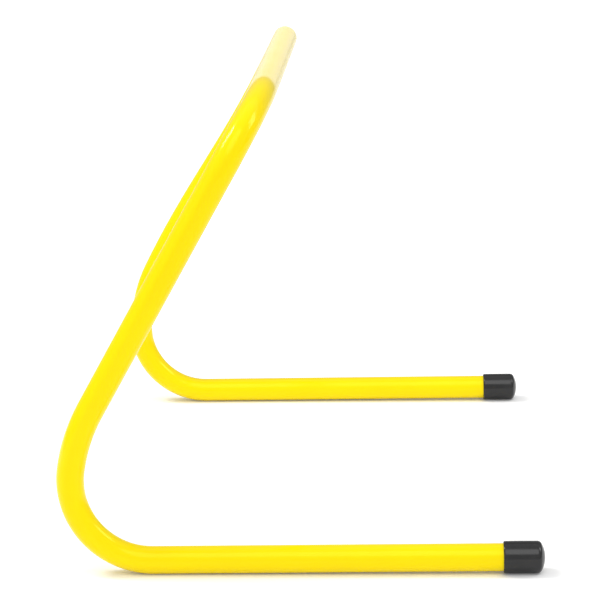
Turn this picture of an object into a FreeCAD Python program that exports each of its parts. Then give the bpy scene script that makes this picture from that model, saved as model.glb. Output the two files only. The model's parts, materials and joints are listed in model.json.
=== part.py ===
"""A low training hurdle: one bent plastic tube on two feet, with a soft push-on cap at each cut end.

Millimetres, +Z up. The crossbar runs along X and the feet along Y, with the caps at +Y.
The origin is on the floor, under the middle of the hurdle's box.
"""
import FreeCAD, Part
import math
import os

from FreeCAD import Vector

# Tube stock
tube_diameter = 17.6  # outside
tube_wall = 2.0
tube_end_chamfer = 0.4  # both edges of each cut end

# Hurdle
hurdle_height = 305.0  # floor to the top of the crossbar
hurdle_width = 450.0  # over the outsides of the two uprights
lean_angle = 60.5  # degrees from the floor to the uprights
foot_length = 241.5  # straight run of a foot, from its bend to the cut end

# Bends, each tight on the side nearer its foot and eased where it runs out into the next straight stretch
bend_radius = 51.0  # tight part, to the middle of the tube
ease_radius = 115.0  # eased part, to the middle of the tube
ease_angle = 20.5  # degrees of each bend that are eased

# End caps
cap_grip_length = 22.0  # how far a foot goes into its cap
cap_wall = 1.3
cap_end_wall = 1.8  # at the edge of the domed end
cap_dome_radius = 17.5
cap_shoulder_radius = 3.0  # round between the side and the domed end
cap_fit_gap = 0.05  # all round, between the tube and the bore of the cap

# Two points nearer than this are the same place
same_place = 0.01

# Sizes that follow from those above
tube_radius = tube_diameter / 2
tube_bore_radius = tube_radius - tube_wall
cap_bore_radius = tube_radius + cap_fit_gap
cap_radius = cap_bore_radius + cap_wall
cap_lip_radius = cap_wall / 2
cap_lip_middle_radius = cap_bore_radius + cap_lip_radius
cap_dome_angle = math.asin((cap_radius - cap_shoulder_radius) / (cap_dome_radius - cap_shoulder_radius))
cap_dome_centre = cap_end_wall - cap_dome_radius * math.cos(cap_dome_angle)  # along the foot, from its cut end
leg_offset = hurdle_width / 2 - tube_radius
lean = math.radians(lean_angle)
ease = math.radians(ease_angle)


def foot_rise():
    """The small angle at which a foot rises to its cap, so that the cap's lip and the bend both touch the floor."""
    bend_to_lip = foot_length - cap_grip_length + cap_lip_radius
    across = bend_radius + cap_lip_middle_radius
    standing = bend_radius + tube_radius - cap_lip_radius
    return math.atan2(across, bend_to_lip) - math.asin(standing / math.hypot(across, bend_to_lip))


rise = foot_rise()
sideways = Vector(1, 0, 0)
foot_axis = Vector(0, math.cos(rise), math.sin(rise))  # from the bend to the cap
upright_axis = Vector(0, math.cos(lean), math.sin(lean))  # from the bend to the crossbar


def foot_end():
    """The middle of the right foot's cut end, with the bend's back and the cap's tip equally far from the origin."""
    bend_back = -bend_radius - tube_radius
    end_from_bend = Vector(0, math.sin(rise), -math.cos(rise)) * bend_radius + foot_axis * foot_length
    cap_tip = (end_from_bend + foot_axis * cap_dome_centre).y + cap_dome_radius
    bend_centre = Vector(leg_offset, -(bend_back + cap_tip) / 2, bend_radius + tube_radius)
    return bend_centre + end_from_bend


def upright_length():
    """The straight run of an upright, between its two bends."""
    ease_start = tube_radius + bend_radius * (1 + math.cos(lean + ease))
    ease_end = ease_start + ease_radius * (math.cos(lean) - math.cos(lean + ease))
    top_bend_rise = bend_radius * math.cos(ease) + ease_radius * (1 - math.cos(ease))
    crossbar_middle = hurdle_height - tube_radius
    return (crossbar_middle - ease_end) / math.sin(lean) - top_bend_rise


def crossbar_length():
    """The straight run of the crossbar, between the two upper bends."""
    top_bend_reach = bend_radius * (1 - math.sin(ease)) + ease_radius * math.sin(ease)
    return 2 * (leg_offset - top_bend_reach)


def section(middle, heading):
    """The tube's ring-shaped section."""
    outside = Part.Wire(Part.makeCircle(tube_radius, middle, heading))
    bore = Part.Wire(Part.makeCircle(tube_bore_radius, middle, heading))
    bore.reverse()
    return Part.Face([outside, bore])


class TubeBender:
    """Makes the tube stretch by stretch along its length, as a bending machine takes it: runs and turns."""

    def __init__(self, start, heading):
        self.middle = start
        self.heading = heading
        self.stretches = []
        self.length = 0.0

    def run(self, length):
        """Adds a straight run."""
        travel = self.heading * length
        self.stretches.append(section(self.middle, self.heading).extrude(travel))
        self.middle = self.middle + travel
        self.length += length

    def turn(self, radius, axis, angle):
        """Adds a bend that turns left as seen with its axis pointing at the viewer."""
        centre = self.middle + axis.cross(self.heading) * radius
        degrees = math.degrees(angle)
        self.stretches.append(section(self.middle, self.heading).revolve(centre, axis, degrees))
        rotation = FreeCAD.Rotation(axis, degrees)
        self.middle = centre + rotation.multVec(self.middle - centre)
        self.heading = rotation.multVec(self.heading)
        self.length += radius * angle

    def turn_and_ease(self, axis, angle):
        """Adds a bend that starts tight and eases out."""
        self.turn(bend_radius, axis, angle - ease)
        self.turn(ease_radius, axis, ease)

    def ease_and_turn(self, axis, angle):
        """Adds a bend that eases in and ends tight."""
        self.turn(ease_radius, axis, ease)
        self.turn(bend_radius, axis, angle - ease)

    def tube(self):
        """The runs and turns as one solid."""
        whole = self.stretches[0].multiFuse(self.stretches[1:]).removeSplitter()
        return whole.Solids[0]


def end_edges(tube, middle):
    """The two round edges of a tube's cut end."""
    circles = [edge for edge in tube.Edges if isinstance(edge.Curve, Part.Circle)]
    return [edge for edge in circles if edge.Curve.Center.distanceToPoint(middle) < same_place]


def make_frame_tube():
    """The whole bent tube, from the right foot's cut end to the left foot's."""
    right_end = foot_end()
    frame_normal = sideways.cross(upright_axis)
    foot_turn = math.pi - lean + rise
    top_turn = math.pi / 2

    bender = TubeBender(right_end, -foot_axis)
    bender.run(foot_length)
    bender.turn_and_ease(-sideways, foot_turn)
    bender.run(upright_length())
    bender.turn_and_ease(frame_normal, top_turn)
    bender.run(crossbar_length())
    bender.ease_and_turn(frame_normal, top_turn)
    bender.run(upright_length())
    bender.ease_and_turn(sideways, foot_turn)
    bender.run(foot_length)
    tube = bender.tube()

    section_area = math.pi * (tube_radius**2 - tube_bore_radius**2)
    print(f"tube {bender.length:.1f} mm long, its volume over section times length is "
          f"{tube.Volume / (section_area * bender.length):.6f}")
    edges = end_edges(tube, right_end) + end_edges(tube, bender.middle)
    return tube.makeChamfer(tube_end_chamfer, edges)


def make_end_cap():
    """One cap, turned about X: its bore ends at the origin, its mouth is at -X and its domed tip at +X."""

    def on_arc(x, y, radius, angle):
        return Vector(x + radius * math.cos(angle), y + radius * math.sin(angle), 0)

    side_end = cap_end_wall - cap_shoulder_radius * math.cos(cap_dome_angle)
    side_start = cap_lip_radius - cap_grip_length
    halfway_round_shoulder = (cap_dome_angle + math.pi / 2) / 2

    tip = on_arc(cap_dome_centre, 0, cap_dome_radius, 0)
    dome_middle = on_arc(cap_dome_centre, 0, cap_dome_radius, cap_dome_angle / 2)
    dome_edge = on_arc(cap_dome_centre, 0, cap_dome_radius, cap_dome_angle)
    shoulder_middle = on_arc(side_end, cap_radius - cap_shoulder_radius, cap_shoulder_radius,
                             halfway_round_shoulder)
    side_front = Vector(side_end, cap_radius, 0)
    side_back = Vector(side_start, cap_radius, 0)
    lip_tip = Vector(-cap_grip_length, cap_lip_middle_radius, 0)
    bore_mouth = Vector(side_start, cap_bore_radius, 0)
    bore_corner = Vector(0, cap_bore_radius, 0)
    bore_centre = Vector(0, 0, 0)

    outline = [
        Part.Arc(tip, dome_middle, dome_edge),
        Part.Arc(dome_edge, shoulder_middle, side_front),
        Part.LineSegment(side_front, side_back),
        Part.Arc(side_back, lip_tip, bore_mouth),
        Part.LineSegment(bore_mouth, bore_corner),
        Part.LineSegment(bore_corner, bore_centre),
        Part.LineSegment(bore_centre, tip),
    ]
    profile = Part.Face(Part.Wire([stretch.toShape() for stretch in outline]))
    return profile.revolve(bore_centre, sideways, 360)


def seated(cap, side):
    """A copy of the cap on the foot on the side given: +1 is right, -1 is left."""
    seat = foot_end()
    seat.x *= side
    placed = cap.copy()
    placed.Placement = FreeCAD.Placement(seat, FreeCAD.Rotation(sideways, foot_axis))
    return placed


def main():
    os.makedirs("parts", exist_ok=True)
    cap = make_end_cap()
    nodes = {
        "frame_tube": make_frame_tube(),
        "left_end_cap": seated(cap, -1),
        "right_end_cap": seated(cap, 1),
    }
    for name, shape in nodes.items():
        box = shape.optimalBoundingBox()
        print(f"{name}: valid {shape.isValid()}, {len(shape.Solids)} solid, {shape.Volume / 1000:.2f} cm3, "
              f"x {box.XMin:.2f} to {box.XMax:.2f}, y {box.YMin:.2f} to {box.YMax:.2f}, "
              f"z {box.ZMin:.2f} to {box.ZMax:.2f}")
        shape.exportStep(f"parts/{name}.step")
    end = foot_end()
    print(f"each foot rises {math.degrees(rise):.4f} degrees along (0, {foot_axis.y:.6f}, {foot_axis.z:.6f}), "
          f"to a cut end at x {end.x:.3f}, y {end.y:.3f}, z {end.z:.3f}")


main()
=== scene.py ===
"""Dresses the speed hurdle: a bent yellow plastic tube with black vinyl end caps, on a pale studio floor.

Metres and radians, in the frame of the solids: +X along the crossbar, +Y along the feet, +Z up.
"""
import json
import logging
import math
from dataclasses import dataclass, field, replace
from enum import Enum
from typing import Dict, Iterable, List, Optional, Sequence, Tuple

import bpy
from mathutils import Matrix, Quaternion, Vector


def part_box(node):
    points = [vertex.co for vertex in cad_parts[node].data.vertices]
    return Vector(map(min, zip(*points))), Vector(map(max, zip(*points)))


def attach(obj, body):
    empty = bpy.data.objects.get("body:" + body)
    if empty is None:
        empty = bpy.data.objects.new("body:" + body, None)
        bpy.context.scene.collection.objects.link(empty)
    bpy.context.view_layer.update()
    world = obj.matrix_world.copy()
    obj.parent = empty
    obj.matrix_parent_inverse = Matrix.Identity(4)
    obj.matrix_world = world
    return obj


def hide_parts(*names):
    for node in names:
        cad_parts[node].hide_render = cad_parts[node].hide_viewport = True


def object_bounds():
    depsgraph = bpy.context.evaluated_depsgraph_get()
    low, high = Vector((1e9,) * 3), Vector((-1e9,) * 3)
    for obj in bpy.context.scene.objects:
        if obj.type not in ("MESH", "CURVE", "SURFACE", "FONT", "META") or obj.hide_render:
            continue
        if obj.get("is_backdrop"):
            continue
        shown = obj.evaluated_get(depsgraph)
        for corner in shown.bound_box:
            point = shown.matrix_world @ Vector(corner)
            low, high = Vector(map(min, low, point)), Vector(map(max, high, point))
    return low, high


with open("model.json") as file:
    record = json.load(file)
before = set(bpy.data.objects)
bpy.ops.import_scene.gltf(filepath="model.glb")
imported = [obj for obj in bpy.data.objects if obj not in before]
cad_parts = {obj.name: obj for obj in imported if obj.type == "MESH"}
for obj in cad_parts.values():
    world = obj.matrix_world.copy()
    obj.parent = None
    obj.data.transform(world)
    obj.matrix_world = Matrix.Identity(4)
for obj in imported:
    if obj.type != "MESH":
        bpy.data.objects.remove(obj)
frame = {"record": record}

Colour = Tuple[float, float, float]
Face = Tuple[int, ...]
Place = Tuple[float, float, float]
Span = Tuple[float, float]

STOCK_PLACE = "stock_place"  # the mesh attribute with each corner's place before bending or seating
FULL_TURN = 2 * math.pi
QUARTER_TURN = math.pi / 2
MILLIMETRES = 1000.0  # in a metre
RIGHTWARD = Vector((1.0, 0.0, 0.0))
FORWARD = Vector((0.0, 1.0, 0.0))
UPWARD = Vector((0.0, 0.0, 1.0))
NO_BEND = Vector((0.0, 0.0, 0.0))
WHITE: Colour = (1.0, 1.0, 1.0)

log = logging.getLogger("hurdle")
solids_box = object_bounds()


class Side(Enum):
    """The hurdle's two legs, each with its sign along X."""

    LEFT = -1
    RIGHT = 1

    @property
    def word(self) -> str:
        """The side's name as the solids spell it."""
        return self.name.lower()


class SocketKind(Enum):
    """The kinds of socket that a node group has."""

    NUMBER = "NodeSocketFloat"
    VECTOR = "NodeSocketVector"


def opaque(colour: Colour) -> Tuple[float, float, float, float]:
    """The colour with a full alpha."""
    return (*colour, 1.0)


def smooth_step(value: float) -> float:
    """Zero below 0, one above 1 and a soft ramp between."""
    held = min(max(value, 0.0), 1.0)
    return held * held * (3.0 - 2.0 * held)


class NodeGraph:
    """A small helper that adds nodes to a tree and links them by socket name."""

    def __init__(self, tree: bpy.types.NodeTree) -> None:
        """Takes the empty tree of a material, a world or a group."""
        self.tree = tree

    def add(self, kind: str, settings: Optional[Dict[str, object]] = None,
            **inputs: object) -> bpy.types.Node:
        """Adds a node.

        Args:
            kind: the node's type without its ShaderNode prefix, or a whole type name.
            settings: attributes of the node itself.
            inputs: what goes into each input, with underscores for spaces.

        Returns:
            The new node.
        """
        name = kind if kind.startswith("Node") else "ShaderNode" + kind
        node = self.tree.nodes.new(name)
        for key, value in (settings or {}).items():
            setattr(node, key, value)
        for key, value in inputs.items():
            self.feed(node.inputs[key.replace("_", " ")], value)
        return node

    def feed(self, socket: bpy.types.NodeSocket, value: object) -> None:
        """Gives an input what it takes.

        Args:
            socket: the input.
            value: a socket, which is linked to it, or a value, which is set.
        """
        if isinstance(value, bpy.types.NodeSocket):
            self.tree.links.new(value, socket)
        else:
            socket.default_value = value

    def operate(self, kind: str, operation: str, terms: Sequence[object]) -> bpy.types.NodeSocket:
        """Adds a Math or Vector Math node.

        Args:
            kind: the node's type.
            operation: its operation.
            terms: its inputs in order, sockets or values.

        Returns:
            The result's socket.
        """
        node = self.add(kind, {"operation": operation})
        for socket, term in zip(node.inputs, terms):
            self.feed(socket, term)
        return node.outputs[0]

    def maths(self, operation: str, *terms: object) -> bpy.types.NodeSocket:
        """The number that an operation on numbers gives."""
        return self.operate("Math", operation, terms)

    def vector_maths(self, operation: str, *terms: object) -> bpy.types.NodeSocket:
        """The vector that an operation on vectors gives."""
        return self.operate("VectorMath", operation, terms)

    def noise(self, place: bpy.types.NodeSocket, scale: object, detail: float,
              roughness: object = 0.5) -> bpy.types.Node:
        """Adds a noise.

        Args:
            place: where on the piece it is read.
            scale: its patches per metre.
            detail: how many finer layers it has.
            roughness: how strong the finer layers are.

        Returns:
            The node, with the outputs Fac and Color.
        """
        return self.add("TexNoise", None, Vector=place, Scale=scale, Detail=detail, Roughness=roughness)

    def ramp(self, value: object, low: object, high: object, to_low: object = 0.0,
             to_high: object = 1.0) -> bpy.types.NodeSocket:
        """Maps a value from one range to another, clamped, along a soft step.

        Args:
            value: the value.
            low: the range's start.
            high: the range's end.
            to_low: what the start maps to.
            to_high: what the end maps to.

        Returns:
            The mapped value's socket.
        """
        node = self.add("MapRange", {"interpolation_type": "SMOOTHSTEP"}, Value=value, From_Min=low,
                        From_Max=high, To_Min=to_low, To_Max=to_high)
        return node.outputs["Result"]

    def blend(self, share: bpy.types.NodeSocket, first: object, second: object) -> bpy.types.NodeSocket:
        """Mixes two colours.

        Args:
            share: how much of the second colour shows.
            first: a colour or its socket.
            second: a colour or its socket.

        Returns:
            The mixed colour's socket.
        """
        node = self.add("Mix", {"data_type": "RGBA"})
        self.feed(node.inputs["Factor"], share)
        colours = [socket for socket in node.inputs if socket.type == "RGBA"]
        for socket, colour in zip(colours, (first, second)):
            self.feed(socket, opaque(colour) if isinstance(colour, tuple) else colour)
        return next(socket for socket in node.outputs if socket.type == "RGBA")


class EffectGroup:
    """A shader node group with named sockets, built once and placed in each material that uses it."""

    def __init__(self, name: str, inputs: Dict[str, SocketKind], output: str) -> None:
        """Makes an empty group.

        Args:
            name: the group's name.
            inputs: the kind of each input, by its name.
            output: the name of the one number that the group puts out.
        """
        self.tree = bpy.data.node_groups.new(name, "ShaderNodeTree")
        for socket_name, kind in inputs.items():
            self.tree.interface.new_socket(socket_name, in_out="INPUT", socket_type=kind.value)
        self.tree.interface.new_socket(output, in_out="OUTPUT", socket_type=SocketKind.NUMBER.value)
        self.graph = NodeGraph(self.tree)
        self.given = self.graph.add("NodeGroupInput").outputs
        self.result = self.graph.add("NodeGroupOutput").inputs[output]

    def put_out(self, value: bpy.types.NodeSocket) -> "EffectGroup":
        """Links the group's result and gives back the group."""
        self.graph.feed(self.result, value)
        return self

    def place(self, graph: NodeGraph, **inputs: object) -> bpy.types.NodeSocket:
        """The group's output, placed in a material's graph with what goes into each of its inputs."""
        node = graph.add("Group", {"node_tree": self.tree}, **inputs)
        return node.outputs[0]


@dataclass(frozen=True)
class CloudyTone:
    """Soft patches, as in plastic that wasn't mixed quite evenly: a value from 0 to 1."""

    detail: float = 4.0
    noise_span: Span = (0.3, 0.7)

    def group(self) -> EffectGroup:
        """Builds the node group.

        Returns:
            The group.
        """
        group = EffectGroup("cloudy_tone", {
            "Place": SocketKind.VECTOR,
            "Patches per metre": SocketKind.NUMBER,
            "Roughness": SocketKind.NUMBER,
        }, "Tone")
        noise = group.graph.noise(group.given["Place"], group.given["Patches per metre"], self.detail,
                                  group.given["Roughness"])
        return group.put_out(group.graph.ramp(noise.outputs["Fac"], *self.noise_span))


@dataclass(frozen=True)
class DrawnLines:
    """Fine lines along the place's third axis, as an extruder's die leaves them: a value from 0 to 1."""

    detail: float = 3.0
    roughness: float = 0.6
    noise_span: Span = (0.25, 0.75)

    def group(self) -> EffectGroup:
        """Builds the node group.

        Returns:
            The group.
        """
        group = EffectGroup("drawn_lines", {
            "Place": SocketKind.VECTOR,
            "Lines per metre": SocketKind.NUMBER,
            "Run along": SocketKind.NUMBER,
        }, "Lines")
        graph = group.graph
        run = graph.add("CombineXYZ", None, X=1.0, Y=1.0, Z=group.given["Run along"])
        drawn = graph.vector_maths("MULTIPLY", group.given["Place"], run.outputs["Vector"])
        noise = graph.noise(drawn, group.given["Lines per metre"], self.detail, self.roughness)
        return group.put_out(graph.ramp(noise.outputs["Fac"], *self.noise_span))


@dataclass(frozen=True)
class Hairlines:
    """Sparse hairline scratches from handling: a mask from 0 to 1."""

    wander: Place = (0.008, 0.008, 0.008)  # how far a line strays along each axis
    wanders_per_metre: float = 60.0
    wander_detail: float = 2.0
    patches_per_metre: float = 90.0
    patch_detail: float = 3.0
    patch_edge: float = 0.12

    def group(self) -> EffectGroup:
        """Builds the node group.

        Returns:
            The group.
        """
        group = EffectGroup("hairline_scratches", {
            "Place": SocketKind.VECTOR,
            "Cells per metre": SocketKind.NUMBER,
            "Width": SocketKind.NUMBER,
            "Share": SocketKind.NUMBER,
        }, "Mask")
        graph = group.graph
        place = group.given["Place"]
        warp = graph.noise(place, self.wanders_per_metre, self.wander_detail)
        bent = graph.vector_maths("MULTIPLY_ADD", warp.outputs["Color"], self.wander, place)
        cells = graph.add("TexVoronoi", {"feature": "DISTANCE_TO_EDGE"}, Vector=bent,
                          Scale=group.given["Cells per metre"])
        lines = graph.ramp(cells.outputs["Distance"], 0.0, group.given["Width"], 1.0, 0.0)
        patches = graph.noise(place, self.patches_per_metre, self.patch_detail)
        barrier = graph.maths("SUBTRACT", 1.0, group.given["Share"])
        here = graph.ramp(patches.outputs["Fac"], barrier, graph.maths("ADD", barrier, self.patch_edge))
        return group.put_out(graph.maths("MULTIPLY", lines, here))


@dataclass(frozen=True)
class FloorRub:
    """The dull, broken patch where a piece has rubbed on the floor: a mask from 0 to 1."""

    grains_per_metre: float = 900.0
    grain_detail: float = 5.0
    grain_roughness: float = 0.65
    noise_span: Span = (0.4, 0.62)

    def group(self) -> EffectGroup:
        """Builds the node group.

        Returns:
            The group.
        """
        group = EffectGroup("floor_rub", {
            "Place": SocketKind.VECTOR,
            "Height": SocketKind.NUMBER,
            "Reach": SocketKind.NUMBER,
        }, "Mask")
        graph = group.graph
        low = graph.ramp(group.given["Height"], 0.0, group.given["Reach"], 1.0, 0.0)
        grit = graph.noise(group.given["Place"], self.grains_per_metre, self.grain_detail,
                           self.grain_roughness)
        broken = graph.ramp(grit.outputs["Fac"], *self.noise_span)
        return group.put_out(graph.maths("MULTIPLY", low, broken))


@dataclass
class Effects:
    """The surface effects of the hurdle's finishes, each built once."""

    cloudy_tone: EffectGroup = field(default_factory=CloudyTone().group)
    drawn_lines: EffectGroup = field(default_factory=DrawnLines().group)
    hairlines: EffectGroup = field(default_factory=Hairlines().group)
    floor_rub: EffectGroup = field(default_factory=FloorRub().group)


def new_surface(name: str) -> Tuple[bpy.types.Material, NodeGraph, bpy.types.Node]:
    """Starts a material.

    Args:
        name: the material's name.

    Returns:
        The material, its graph and its Principled shader.
    """
    material = bpy.data.materials.new(name)
    material.use_nodes = True
    material.node_tree.nodes.clear()
    graph = NodeGraph(material.node_tree)
    shader = graph.add("BsdfPrincipled")
    graph.add("OutputMaterial", None, Surface=shader.outputs["BSDF"])
    return material, graph, shader


def stock_place(graph: NodeGraph) -> bpy.types.NodeSocket:
    """Each point's place on the piece as it was before bending or seating, from the mesh."""
    return graph.add("Attribute", {"attribute_name": STOCK_PLACE}).outputs["Vector"]


def height_over_floor(graph: NodeGraph) -> bpy.types.NodeSocket:
    """Each point's height over the floor at rest."""
    place = graph.add("TexCoord").outputs["Object"]
    return graph.add("SeparateXYZ", None, Vector=place).outputs["Z"]


@dataclass(frozen=True)
class Wear:
    """How handling and the floor have marked a finish."""

    scratch_cells: float  # per metre
    scratch_width: float  # in cells
    scratch_share: float  # of the surface that is scratched, roughly
    rub_reach: float  # height over the floor

    def place(self, graph: NodeGraph, effects: Effects,
              place: bpy.types.NodeSocket) -> Tuple[bpy.types.NodeSocket, bpy.types.NodeSocket]:
        """Places the marks in a material.

        Args:
            graph: the material's graph.
            effects: the surface effects.
            place: each point's place in the stock.

        Returns:
            The mask of the scratches and the mask of the rub.
        """
        scratches = effects.hairlines.place(graph, Place=place, Cells_per_metre=self.scratch_cells,
                                            Width=self.scratch_width, Share=self.scratch_share)
        rub = effects.floor_rub.place(graph, Place=place, Height=height_over_floor(graph),
                                      Reach=self.rub_reach)
        return scratches, rub


@dataclass(frozen=True)
class TubePlastic:
    """The tube's finish: plastic coloured right through, with the faint lines of its extrusion."""

    colour: Colour = (0.98, 0.77, 0.002)
    deep_colour: Colour = (0.96, 0.71, 0.0015)
    scuff_colour: Colour = (0.78, 0.62, 0.10)
    facing_reflection: Colour = (1.0, 0.9, 0.18)
    roughness: float = 0.09
    dull_roughness: float = 0.45
    patches_per_metre: float = 18.0
    patch_roughness: float = 0.55
    patch_shade: float = 0.35
    patch_dulling: float = 0.04
    lines_per_metre: float = 1400.0
    line_run: float = 0.012
    line_shade: float = 0.15
    line_dulling: float = 0.04
    line_depth: float = 0.000012
    wear: Wear = Wear(scratch_cells=45.0, scratch_width=0.012, scratch_share=0.42, rub_reach=0.0016)
    scratch_dulling: float = 0.55
    scratch_height: float = -0.8  # in line depths
    rub_shade: float = 0.55
    rub_height: float = -0.6  # in line depths
    bump_strength: float = 0.5

    def material(self, effects: Effects) -> bpy.types.Material:
        """Builds the material.

        Args:
            effects: the surface effects.

        Returns:
            The material.
        """
        material, graph, shader = new_surface("yellow_tube_plastic")
        place = stock_place(graph)
        tone = effects.cloudy_tone.place(graph, Place=place, Patches_per_metre=self.patches_per_metre,
                                         Roughness=self.patch_roughness)
        lines = effects.drawn_lines.place(graph, Place=place, Lines_per_metre=self.lines_per_metre,
                                          Run_along=self.line_run)
        scratches, rub = self.wear.place(graph, effects, place)

        streaks = graph.maths("MULTIPLY", lines, self.line_shade)
        shade = graph.maths("MULTIPLY_ADD", tone, self.patch_shade, streaks)
        clean = graph.blend(shade, self.colour, self.deep_colour)
        worn = graph.maths("MULTIPLY", rub, self.rub_shade)
        graph.feed(shader.inputs["Base Color"], graph.blend(worn, clean, self.scuff_colour))

        satin = graph.maths("MULTIPLY_ADD", tone, self.patch_dulling, self.roughness)
        streaked = graph.maths("MULTIPLY_ADD", lines, self.line_dulling, satin)
        dulled = graph.maths("MAXIMUM", graph.maths("MULTIPLY", scratches, self.scratch_dulling), rub)
        roughness = graph.ramp(dulled, 0.0, 1.0, streaked, self.dull_roughness)
        graph.feed(shader.inputs["Roughness"], roughness)

        ridges = graph.maths("MULTIPLY_ADD", scratches, self.scratch_height, lines)
        height = graph.maths("MULTIPLY_ADD", rub, self.rub_height, ridges)
        bump = graph.add("Bump", None, Strength=self.bump_strength, Distance=self.line_depth, Height=height)
        graph.feed(shader.inputs["Normal"], bump.outputs["Normal"])
        shader.inputs["Specular Tint"].default_value = opaque(self.facing_reflection)
        return material


@dataclass(frozen=True)
class CapVinyl:
    """The caps' finish: soft black vinyl with a satin skin."""

    colour: Colour = (0.007, 0.007, 0.0074)
    pale_colour: Colour = (0.011, 0.011, 0.0115)
    scuff_colour: Colour = (0.07, 0.07, 0.069)
    specular: float = 0.5
    roughness: float = 0.16
    dull_roughness: float = 0.6
    patches_per_metre: float = 120.0
    patch_roughness: float = 0.6
    patch_dulling: float = 0.08
    grains_per_metre: float = 2600.0
    grain_roughness: float = 0.5
    grain_depth: float = 0.000015
    wear: Wear = Wear(scratch_cells=220.0, scratch_width=0.02, scratch_share=0.45, rub_reach=0.0012)
    scratch_shade: float = 0.25
    scratch_height: float = -1.0  # in grain depths
    bump_strength: float = 0.35

    def material(self, effects: Effects) -> bpy.types.Material:
        """Builds the material.

        Args:
            effects: the surface effects.

        Returns:
            The material.
        """
        material, graph, shader = new_surface("black_cap_vinyl")
        place = stock_place(graph)
        tone = effects.cloudy_tone.place(graph, Place=place, Patches_per_metre=self.patches_per_metre,
                                         Roughness=self.patch_roughness)
        grain = effects.cloudy_tone.place(graph, Place=place, Patches_per_metre=self.grains_per_metre,
                                          Roughness=self.grain_roughness)
        scratches, rub = self.wear.place(graph, effects, place)

        worn = graph.maths("MAXIMUM", graph.maths("MULTIPLY", scratches, self.scratch_shade), rub)
        skin = graph.blend(tone, self.colour, self.pale_colour)
        graph.feed(shader.inputs["Base Color"], graph.blend(worn, skin, self.scuff_colour))

        satin = graph.maths("MULTIPLY_ADD", tone, self.patch_dulling, self.roughness)
        roughness = graph.ramp(worn, 0.0, 1.0, satin, self.dull_roughness)
        graph.feed(shader.inputs["Roughness"], roughness)

        height = graph.maths("MULTIPLY_ADD", scratches, self.scratch_height, grain)
        bump = graph.add("Bump", None, Strength=self.bump_strength, Distance=self.grain_depth, Height=height)
        graph.feed(shader.inputs["Normal"], bump.outputs["Normal"])
        shader.inputs["Specular IOR Level"].default_value = self.specular
        return material


@dataclass
class PieceMesh:
    """The corners and faces of one piece."""

    points: List[Vector] = field(default_factory=list)
    stock: List[Place] = field(default_factory=list)
    faces: List[Face] = field(default_factory=list)

    def put(self, point: Vector, stock: Place) -> int:
        """Adds a corner.

        Args:
            point: where it is.
            stock: where it was before bending or seating.

        Returns:
            The corner's number.
        """
        self.points.append(point)
        self.stock.append(stock)
        return len(self.points) - 1

    def bridge(self, first: Sequence[int], second: Sequence[int]) -> None:
        """Adds the faces between two rings.

        Args:
            first: the corners of a ring.
            second: as many corners of the next ring.
        """
        count = len(first)
        for here in range(count):
            after = (here + 1) % count
            self.faces.append((first[here], first[after], second[after], second[here]))

    def fan(self, middle: int, ring: Sequence[int]) -> None:
        """Adds the faces between a ring and a corner in its middle.

        Args:
            middle: the corner.
            ring: the corners of the ring.
        """
        count = len(ring)
        for here in range(count):
            self.faces.append((middle, ring[here], ring[(here + 1) % count]))

    def build(self, name: str, sharp_angle: float) -> bpy.types.Object:
        """Makes the mesh object.

        Args:
            name: the piece's name.
            sharp_angle: edges that turn by more than this stay sharp.

        Returns:
            The new object, in the scene.
        """
        mesh = bpy.data.meshes.new(name)
        mesh.from_pydata([tuple(point) for point in self.points], [], self.faces)
        attribute = mesh.attributes.new(STOCK_PLACE, "FLOAT_VECTOR", "POINT")
        attribute.data.foreach_set("vector", [number for place in self.stock for number in place])
        mesh.shade_smooth()
        mesh.set_sharp_from_angle(angle=sharp_angle)
        mesh.validate()
        piece = bpy.data.objects.new(name, mesh)
        bpy.context.scene.collection.objects.link(piece)
        return piece


@dataclass(frozen=True)
class FootEnd:
    """Where a foot's cut end is and which way it points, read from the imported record."""

    side: Side
    side_middle: float  # of the cap, along the foot from the cut end

    def mount(self) -> Dict[str, object]:
        """The record's mount on this foot's cap."""
        name = f"{self.side.word}_foot_end"
        return next(mount for mount in frame["record"]["mounts"] if mount["name"] == name)

    @property
    def axis(self) -> Vector:
        """The way out of the foot, along it."""
        return Vector(self.mount()["axis"]).normalized()

    @property
    def middle(self) -> Vector:
        """The middle of the cut end."""
        return Vector(self.mount()["pos_m"]) - self.axis * self.side_middle


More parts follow.
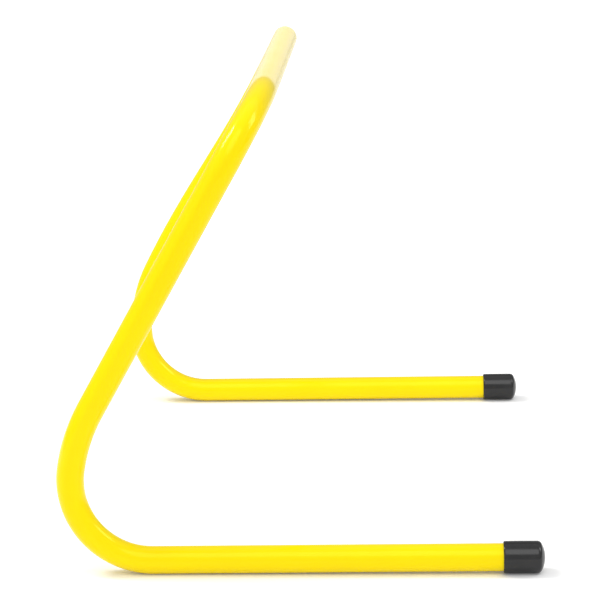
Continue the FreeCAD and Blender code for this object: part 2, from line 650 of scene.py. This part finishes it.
@dataclass(frozen=True)
class CapShape:
    """The sizes of one push-on end cap, along the foot from the tube's cut end and out from its axis."""

    bore_radius: float = 0.00885
    wall: float = 0.0013
    grip_length: float = 0.022
    end_wall: float = 0.0018  # at the edge of the domed end
    dome_radius: float = 0.0175
    shoulder_radius: float = 0.003
    lip_length: float = 0.0012
    stretch_bulge: float = 0.00006  # in the middle of the straight side
    arc_steps: int = 10
    side_steps: int = 12
    floor_rings: int = 4

    @property
    def radius(self) -> float:
        """Outside radius of the straight side."""
        return self.bore_radius + self.wall

    @property
    def dome_angle(self) -> float:
        """Half the angle that the dome's arc spans."""
        reach = self.radius - self.shoulder_radius
        return math.asin(reach / (self.dome_radius - self.shoulder_radius))

    @property
    def side_front(self) -> float:
        """Where the straight side meets the shoulder."""
        return self.end_wall - self.shoulder_radius * math.cos(self.dome_angle)

    @property
    def side_back(self) -> float:
        """Where the solid's straight side meets its rounded lip."""
        return self.wall / 2 - self.grip_length

    @property
    def side_middle(self) -> float:
        """The middle of the solid's straight side."""
        return (self.side_front + self.side_back) / 2

    @property
    def tip(self) -> float:
        """Where the domed tip is."""
        return self.end_wall + self.dome_radius * (1 - math.cos(self.dome_angle))

    def arc(self, along: float, out: float, radius: float, turn: Span,
            stretch: float = 1.0) -> List[Tuple[float, float]]:
        """Points of an arc in the profile, without its first.

        Args:
            along: its centre along the foot.
            out: its centre's distance from the axis.
            radius: its radius.
            turn: the angles where it starts and ends, from straight along the foot.
            stretch: how many times longer it is along the foot than across it.

        Returns:
            Places along the foot and out from its axis.
        """
        start, end = turn
        points = []
        for step in range(1, self.arc_steps + 1):
            angle = start + (end - start) * step / self.arc_steps
            points.append((along + stretch * radius * math.cos(angle), out + radius * math.sin(angle)))
        return points

    def profile(self) -> List[Tuple[float, float]]:
        """The cap's section from its domed tip round to the middle of its bore's floor.

        Returns:
            Places along the foot and out from its axis, without the two on the axis.
        """
        dome_centre = self.end_wall - self.dome_radius * math.cos(self.dome_angle)
        lip = self.wall / 2
        lip_start = self.lip_length - self.grip_length
        points = self.arc(dome_centre, 0.0, self.dome_radius, (0.0, self.dome_angle))
        points += self.arc(self.side_front, self.radius - self.shoulder_radius, self.shoulder_radius,
                           (self.dome_angle, QUARTER_TURN))
        for step in range(1, self.side_steps + 1):
            share = step / self.side_steps
            swell = self.stretch_bulge * math.sin(math.pi * share)
            points.append((self.side_front + (lip_start - self.side_front) * share, self.radius + swell))
        points += self.arc(lip_start, self.bore_radius + lip, lip, (QUARTER_TURN, 3 * QUARTER_TURN),
                           self.lip_length / lip)
        points.append((0.0, self.bore_radius))
        rings = self.floor_rings
        points += [(0.0, self.bore_radius * (rings - step) / rings) for step in range(1, rings)]
        return points


@dataclass
class EndCap:
    """One black vinyl cap, pushed over a foot's cut end."""

    side: Side
    shape: CapShape
    around: int = 96
    sharp_angle: float = math.radians(50)
    apart_in_stock: float = 0.5  # so that the two caps aren't marked alike

    def build(self) -> bpy.types.Object:
        """Builds the cap, seated on its foot.

        Returns:
            The piece.
        """
        foot = FootEnd(self.side, self.shape.side_middle)
        upright = RIGHTWARD.cross(foot.axis)
        mesh = PieceMesh()

        def put(along: float, out: float, angle: float) -> int:
            """Adds a corner.

            Args:
                along: its place along the foot.
                out: its distance from the foot's axis.
                angle: its angle round the axis.

            Returns:
                The corner's number.
            """
            cosine = math.cos(angle)
            sine = math.sin(angle)
            point = foot.middle + foot.axis * along + (RIGHTWARD * cosine + upright * sine) * out
            stock = (out * cosine, out * sine, along + self.side.value * self.apart_in_stock)
            return mesh.put(point, stock)

        angles = [FULL_TURN * step / self.around for step in range(self.around)]
        rings = [[put(along, out, angle) for angle in angles] for along, out in self.shape.profile()]
        tip = put(self.shape.tip, 0.0, 0.0)
        floor_middle = put(0.0, 0.0, 0.0)
        for first, second in zip(rings, rings[1:]):
            mesh.bridge(first, second)
        mesh.fan(tip, rings[0][::-1])
        mesh.fan(floor_middle, rings[-1])
        return mesh.build(f"{self.side.word}_vinyl_cap", self.sharp_angle)

    def dress(self, piece: bpy.types.Object, material: bpy.types.Material) -> None:
        """Gives the cap its finish and puts it in place of its solid.

        Args:
            piece: the cap.
            material: its finish.
        """
        piece.data.materials.append(material)
        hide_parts(f"{self.side.word}_end_cap")
        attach(piece, f"{self.side.word}_cap")


@dataclass(frozen=True)
class Station:
    """One section of the bent tube: where it is, how it faces and how far a bend has flattened it."""

    middle: Vector
    across: Vector
    lift: Vector
    inward: Vector
    distance: float
    flattened: float

    def rim(self, radius: float, angle: float, widening: float) -> Vector:
        """A point of the section's rim.

        Args:
            radius: the round section's radius.
            angle: the angle round the section.
            widening: the share of the flattening by which the section widens the other way.

        Returns:
            The point.
        """
        out = (self.across * math.cos(angle) + self.lift * math.sin(angle)) * radius
        toward_bend = self.inward * out.dot(self.inward)
        aside = out - toward_bend
        return self.middle + toward_bend * (1 - self.flattened) + aside * (1 + self.flattened * widening)


@dataclass
class TubeRoute:
    """Walks the tube's middle line from a cut end, and keeps a station at each step."""

    middle: Vector
    heading: Vector
    run_step: float  # about how far apart the stations of a straight run are
    turn_step: float  # about how far a bend turns between stations
    fewest_turn_steps: int = 4
    flattening_edge: float = 0.25  # share of a bend over which its flattening comes or goes
    across: Vector = field(default_factory=RIGHTWARD.copy)
    distance: float = 0.0
    stations: List[Station] = field(default_factory=list)

    def __post_init__(self) -> None:
        """Keeps a station at the cut end."""
        self.heading = self.heading.normalized()
        self.mark()

    def mark(self, inward: Vector = NO_BEND, flattened: float = 0.0) -> None:
        """Keeps a station here.

        Args:
            inward: the way to the bend's centre.
            flattened: the share by which the bend draws the section in here.
        """
        lift = self.heading.cross(self.across)
        self.stations.append(Station(self.middle.copy(), self.across.copy(), lift, inward.copy(),
                                     self.distance, flattened))

    def move(self, length: float) -> None:
        """Goes straight on and keeps a station there.

        Args:
            length: how far it goes.
        """
        self.middle = self.middle + self.heading * length
        self.distance += length
        self.mark()

    def run(self, length: float) -> None:
        """Follows a straight run.

        Args:
            length: how long it is.
        """
        count = max(1, round(length / self.run_step))
        for _ in range(count):
            self.move(length / count)

    def turn(self, radius: float, axis: Vector, angle: float, flattening: float) -> None:
        """Follows a bend.

        Args:
            radius: its radius to the tube's middle.
            axis: the axis that it turns left about.
            angle: how far it turns.
            flattening: the share by which the bend draws the section in.
        """
        centre = self.middle + axis.cross(self.heading) * radius
        count = max(self.fewest_turn_steps, round(angle / self.turn_step))
        little = Quaternion(axis, angle / count)
        for index in range(1, count + 1):
            self.middle = centre + little @ (self.middle - centre)
            self.heading = little @ self.heading
            self.across = little @ self.across
            self.distance += radius * angle / count
            share = index / count
            full = smooth_step(min(share, 1 - share) / self.flattening_edge)
            self.mark((centre - self.middle).normalized(), flattening * full)


@dataclass
class BentTube:
    """The hurdle's one tube, from cut end to cut end."""

    shape: CapShape
    radius: float = 0.0088
    wall: float = 0.002
    end_chamfer: float = 0.0004
    foot_run: float = 0.2415
    bend_radius: float = 0.051  # of the tight part of each bend
    ease_radius: float = 0.115  # of the part that eases out towards the crossbar
    ease: float = math.radians(20.5)
    lean: float = math.radians(60.5)
    flattening: float = 0.022
    widening: float = 0.6
    upright_set: float = 0.0026
    set_start: float = 0.08  # height over the floor
    around: int = 64
    run_step: float = 0.012
    turn_step: float = math.radians(2.5)
    sharp_angle: float = math.radians(35)

    @property
    def crossbar_height(self) -> float:
        """The height of the crossbar's middle line."""
        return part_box("frame_tube")[1].z - self.radius

    def upright_run(self) -> float:
        """The straight run of an upright, between its two eased bends.

        Returns:
            Its length.
        """
        lean_cosine = math.cos(self.lean)
        tight_cosine = math.cos(self.lean + self.ease)
        ease_cosine = math.cos(self.ease)
        ease_start = self.radius + self.bend_radius * (1 + tight_cosine)
        ease_end = ease_start + self.ease_radius * (lean_cosine - tight_cosine)
        top_bend_rise = self.bend_radius * ease_cosine + self.ease_radius * (1 - ease_cosine)
        return (self.crossbar_height - ease_end) / math.sin(self.lean) - top_bend_rise

    def crossbar_run(self, leg_offset: float) -> float:
        """The straight run of the crossbar, between the two upper bends.

        Args:
            leg_offset: how far each leg's middle is from the hurdle's middle.

        Returns:
            Its length.
        """
        sine = math.sin(self.ease)
        top_bend_reach = self.bend_radius * (1 - sine) + self.ease_radius * sine
        return 2 * (leg_offset - top_bend_reach)

    def route(self) -> TubeRoute:
        """Walks the tube from the right foot's cut end to the left foot's.

        Returns:
            The route with its stations.
        """
        foot = FootEnd(Side.RIGHT, self.shape.side_middle)
        foot_turn = math.pi - self.lean + math.atan2(foot.axis.z, foot.axis.y)
        frame_normal = RIGHTWARD.cross(Vector((0.0, math.cos(self.lean), math.sin(self.lean))))
        foot_run = self.foot_run - self.end_chamfer
        upright_run = self.upright_run()
        crossbar_run = self.crossbar_run(foot.middle.x)
        going_up = ((-RIGHTWARD, foot_turn, upright_run), (frame_normal, QUARTER_TURN, crossbar_run))
        coming_down = ((frame_normal, QUARTER_TURN, upright_run), (RIGHTWARD, foot_turn, foot_run))
        route = TubeRoute(foot.middle, -foot.axis, self.run_step, self.turn_step)

        def tight(axis: Vector, angle: float) -> None:
            """Follows the tight part of a bend."""
            route.turn(self.bend_radius, axis, angle - self.ease, self.flattening)

        def eased(axis: Vector) -> None:
            """Follows the eased part of a bend, which keeps its section round."""
            route.turn(self.ease_radius, axis, self.ease, 0.0)

        route.move(self.end_chamfer)
        route.run(foot_run)
        for axis, angle, next_run in going_up:
            tight(axis, angle)
            eased(axis)
            route.run(next_run)
        for axis, angle, next_run in coming_down:
            eased(axis)
            tight(axis, angle)
            route.run(next_run)
        route.move(self.end_chamfer)
        return route

    def out_of_line(self, station: Station) -> Station:
        """Gives the left upright the slight set of a tube bent by hand: back low down, forward higher up.

        Args:
            station: a section of the tube.

        Returns:
            The section, moved along the feet where it is on the left upright.
        """
        if station.middle.x > 0:
            return station
        share = (station.middle.z - self.set_start) / (self.crossbar_height - self.set_start)
        shift = -self.upright_set * math.sin(FULL_TURN * min(max(share, 0.0), 1.0))
        return replace(station, middle=station.middle + FORWARD * shift)

    def put_skin(self, mesh: PieceMesh, stations: Sequence[Station], radius: float,
                 chamfer: float) -> List[List[int]]:
        """Adds the corners of the tube's outside or of its bore.

        Args:
            mesh: the tube's mesh.
            stations: the tube's sections.
            radius: the skin's radius.
            chamfer: how far its two end rings are moved out.

        Returns:
            The corners of each ring.
        """
        angles = [FULL_TURN * step / self.around for step in range(self.around)]
        rings = []
        for station in stations:
            at_end = station is stations[0] or station is stations[-1]
            here = radius + chamfer if at_end else radius
            ring = []
            for angle in angles:
                stock = (here * math.cos(angle), here * math.sin(angle), station.distance)
                ring.append(mesh.put(station.rim(here, angle, self.widening), stock))
            rings.append(ring)
        return rings

    def build(self) -> bpy.types.Object:
        """Builds the tube: its outside, its bore and its two chamfered ends.

        Returns:
            The piece.
        """
        stations = [self.out_of_line(station) for station in self.route().stations]
        mesh = PieceMesh()
        outside = self.put_skin(mesh, stations, self.radius, -self.end_chamfer)
        bore = self.put_skin(mesh, stations, self.radius - self.wall, self.end_chamfer)
        for first, second in zip(outside, outside[1:]):
            mesh.bridge(first, second)
        for first, second in zip(bore, bore[1:]):
            mesh.bridge(second, first)
        mesh.bridge(bore[0], outside[0])
        mesh.bridge(outside[-1], bore[-1])
        return mesh.build("bent_tube", self.sharp_angle)

    def dress(self, piece: bpy.types.Object, material: bpy.types.Material) -> None:
        """Gives the tube its finish and puts it in place of its solid.

        Args:
            piece: the tube.
            material: its finish.
        """
        piece.data.materials.append(material)
        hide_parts("frame_tube")
        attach(piece, "frame")


def place_lamp(lamp: bpy.types.Light, middle: Place, target: Place) -> None:
    """Puts a lamp in the scene.

    Args:
        lamp: the lamp.
        middle: where it is.
        target: what it faces.
    """
    holder = bpy.data.objects.new(lamp.name, lamp)
    holder.location = middle
    holder.rotation_euler = (Vector(target) - Vector(middle)).to_track_quat("-Z", "Y").to_euler()
    bpy.context.scene.collection.objects.link(holder)


@dataclass(frozen=True)
class SoftBox:
    """One soft lamp, high to the side of the hurdle."""

    name: str
    middle: Place
    target: Place
    width: float
    height: float
    radiance: float

    def build(self) -> None:
        """Builds the lamp, facing its target."""
        lamp = bpy.data.lights.new(self.name, "AREA")
        lamp.shape = "RECTANGLE"
        lamp.size = self.width
        lamp.size_y = self.height
        lamp.energy = self.radiance * math.pi * self.width * self.height
        place_lamp(lamp, self.middle, self.target)


@dataclass(frozen=True)
class WideLight:
    """A broad, even light from far away, as a large diffuser gives it."""

    name: str
    toward: Place
    spread: float
    level: float

    def build(self) -> None:
        """Builds the lamp, facing the hurdle."""
        lamp = bpy.data.lights.new(self.name, "SUN")
        lamp.angle = self.spread
        lamp.energy = self.level * math.pi
        place_lamp(lamp, self.toward, (0.0, 0.0, 0.0))


@dataclass
class Studio:
    """The floor, the lamps, the surrounding light and the camera."""

    floor_colour: Colour = (0.96, 0.96, 0.96)
    floor_roughness: float = 0.9
    floor_specular: float = 0.1
    floor_radius: float = 14.0
    floor_corners: int = 96
    floor_lift: float = 0.1  # emission that only the camera sees, near the hurdle
    far_floor_lift: float = 0.4  # the same, farther out
    lift_span: Span = (0.36, 1.2)  # distances from the origin between which the lift grows
    studio_light: float = 0.37
    backdrop_light: float = 1.0
    backdrop_sides: Span = (-0.985, -0.955)  # X of the directions where the backdrop starts to fade and ends
    backdrop_top: Span = (0.13, 0.24)  # Z of the directions where it starts to fade and ends
    camera_middle: Place = (1.72711, 0.07012, 0.50470)
    camera_yaw: float = -0.04509
    camera_pitch: float = 0.21420
    camera_roll: float = 0.01634
    focal_pixels: float = 2520.6
    picture_pixels: float = 600.0
    sensor_width: float = 36.0  # millimetres
    view_depth: float = 56.0
    front_fill: WideLight = WideLight("front_fill", (0.75, 0.08, 0.95), math.radians(140), 0.36)
    high_key: WideLight = WideLight("high_key", (0.58, 0.05, 0.82), math.radians(38), 0.18)
    left_side: SoftBox = SoftBox("left_softbox", (-0.1, -2.1, 3.0), (0.1, 0.0, 0.2), 0.6, 1.2, 24.0)
    right_side: SoftBox = SoftBox("right_softbox", (0.1, 2.7, 2.4), (0.1, 0.0, 0.1), 1.1, 1.5, 4.0)

    def floor_surface(self) -> bpy.types.Material:
        """Builds the floor's finish: matt and pale, lifted to white for the camera away from the hurdle.

        Returns:
            The material.
        """
        material, graph, shader = new_surface("pale_floor")
        shader.inputs["Base Color"].default_value = opaque(self.floor_colour)
        shader.inputs["Roughness"].default_value = self.floor_roughness
        shader.inputs["Specular IOR Level"].default_value = self.floor_specular
        shader.inputs["Emission Color"].default_value = opaque(WHITE)
        seen = graph.add("LightPath").outputs["Is Camera Ray"]
        place = graph.add("TexCoord").outputs["Object"]
        distance = graph.add("VectorMath", {"operation": "LENGTH"}, Vector=place).outputs["Value"]
        lift = graph.ramp(distance, *self.lift_span, self.floor_lift, self.far_floor_lift)
        graph.feed(shader.inputs["Emission Strength"], graph.maths("MULTIPLY", seen, lift))
        return material

    def build_floor(self) -> None:
        """Builds a pale round floor that keeps the hurdle's shadow."""
        corners = []
        for corner in range(self.floor_corners):
            angle = FULL_TURN * corner / self.floor_corners
            corners.append((self.floor_radius * math.cos(angle), self.floor_radius * math.sin(angle), 0.0))
        mesh = bpy.data.meshes.new("studio_floor")
        mesh.from_pydata(corners, [], [tuple(range(self.floor_corners))])
        mesh.materials.append(self.floor_surface())
        floor = bpy.data.objects.new("studio_floor", mesh)
        bpy.context.scene.collection.objects.link(floor)
        floor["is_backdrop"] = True

    def build_world(self) -> None:
        """Builds the surrounding light: a low white backdrop behind the hurdle in a dimmer studio."""
        world = bpy.data.worlds.new("studio_light")
        world.use_nodes = True
        world.node_tree.nodes.clear()
        graph = NodeGraph(world.node_tree)
        direction = graph.add("TexCoord").outputs["Generated"]
        along = graph.add("SeparateXYZ", None, Vector=direction).outputs
        behind = graph.ramp(along["X"], *self.backdrop_sides, 1.0, 0.0)
        low = graph.ramp(along["Z"], *self.backdrop_top, 1.0, 0.0)
        backdrop = graph.maths("MULTIPLY", behind, low)
        level = graph.ramp(backdrop, 0.0, 1.0, self.studio_light, self.backdrop_light)
        seen = graph.add("LightPath").outputs["Is Camera Ray"]
        strength = graph.maths("MAXIMUM", level, seen)
        background = graph.add("Background", None, Color=opaque(WHITE), Strength=strength)
        graph.add("OutputWorld", None, Surface=background.outputs["Background"])
        bpy.context.scene.world = world

    def build_camera(self) -> None:
        """Builds the camera at the photograph's place and angle."""
        cosine = math.cos(self.camera_pitch)
        forward = Vector((-math.cos(self.camera_yaw) * cosine, math.sin(self.camera_yaw) * cosine,
                          -math.sin(self.camera_pitch)))
        level_right = forward.cross(UPWARD).normalized()
        right = Quaternion(forward, self.camera_roll) @ level_right
        up = right.cross(forward)
        lens = bpy.data.cameras.new("photo_camera")
        lens.sensor_width = self.sensor_width
        lens.lens = self.focal_pixels * self.sensor_width / self.picture_pixels
        lens.clip_end = self.view_depth
        camera = bpy.data.objects.new("photo_camera", lens)
        turn = Matrix((right, up, -forward)).transposed()
        camera.matrix_world = Matrix.Translation(self.camera_middle) @ turn.to_4x4()
        bpy.context.scene.collection.objects.link(camera)
        bpy.context.scene.camera = camera

    def build(self) -> None:
        """Builds the whole studio."""
        bpy.context.scene.view_settings.view_transform = "Standard"
        self.build_floor()
        self.build_world()
        for lamp in (self.front_fill, self.high_key, self.left_side, self.right_side):
            lamp.build()
        self.build_camera()


def report_pieces(pieces: Iterable[bpy.types.Object]) -> None:
    """Logs each piece with its size in millimetres.

    Args:
        pieces: the dressed pieces.
    """
    for piece in pieces:
        size = " x ".join(f"{side * MILLIMETRES:.1f}" for side in piece.dimensions)
        log.info("%s: %d faces, %s mm", piece.name, len(piece.data.polygons), size)


def write_sizes() -> None:
    """Puts the solids' box and the dressed part's box into plain lists, without writing them."""
    boxes = {"cad": solids_box, "visual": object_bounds()}
    plain = {name: [list(corner) for corner in box] for name, box in boxes.items()}


def main() -> None:
    """Builds the hurdle, its finishes and the studio."""
    logging.basicConfig(level=logging.INFO, format="%(name)s: %(message)s")
    effects = Effects()
    yellow_plastic = TubePlastic().material(effects)
    black_vinyl = CapVinyl().material(effects)
    shape = CapShape()
    tube = BentTube(shape)
    pieces = [tube.build()]
    tube.dress(pieces[0], yellow_plastic)
    for side in Side:
        cap = EndCap(side, shape)
        pieces.append(cap.build())
        cap.dress(pieces[-1], black_vinyl)
    Studio().build()
    bpy.context.view_layer.update()
    report_pieces(pieces)
    write_sizes()


if __name__ == "__main__":
    main()
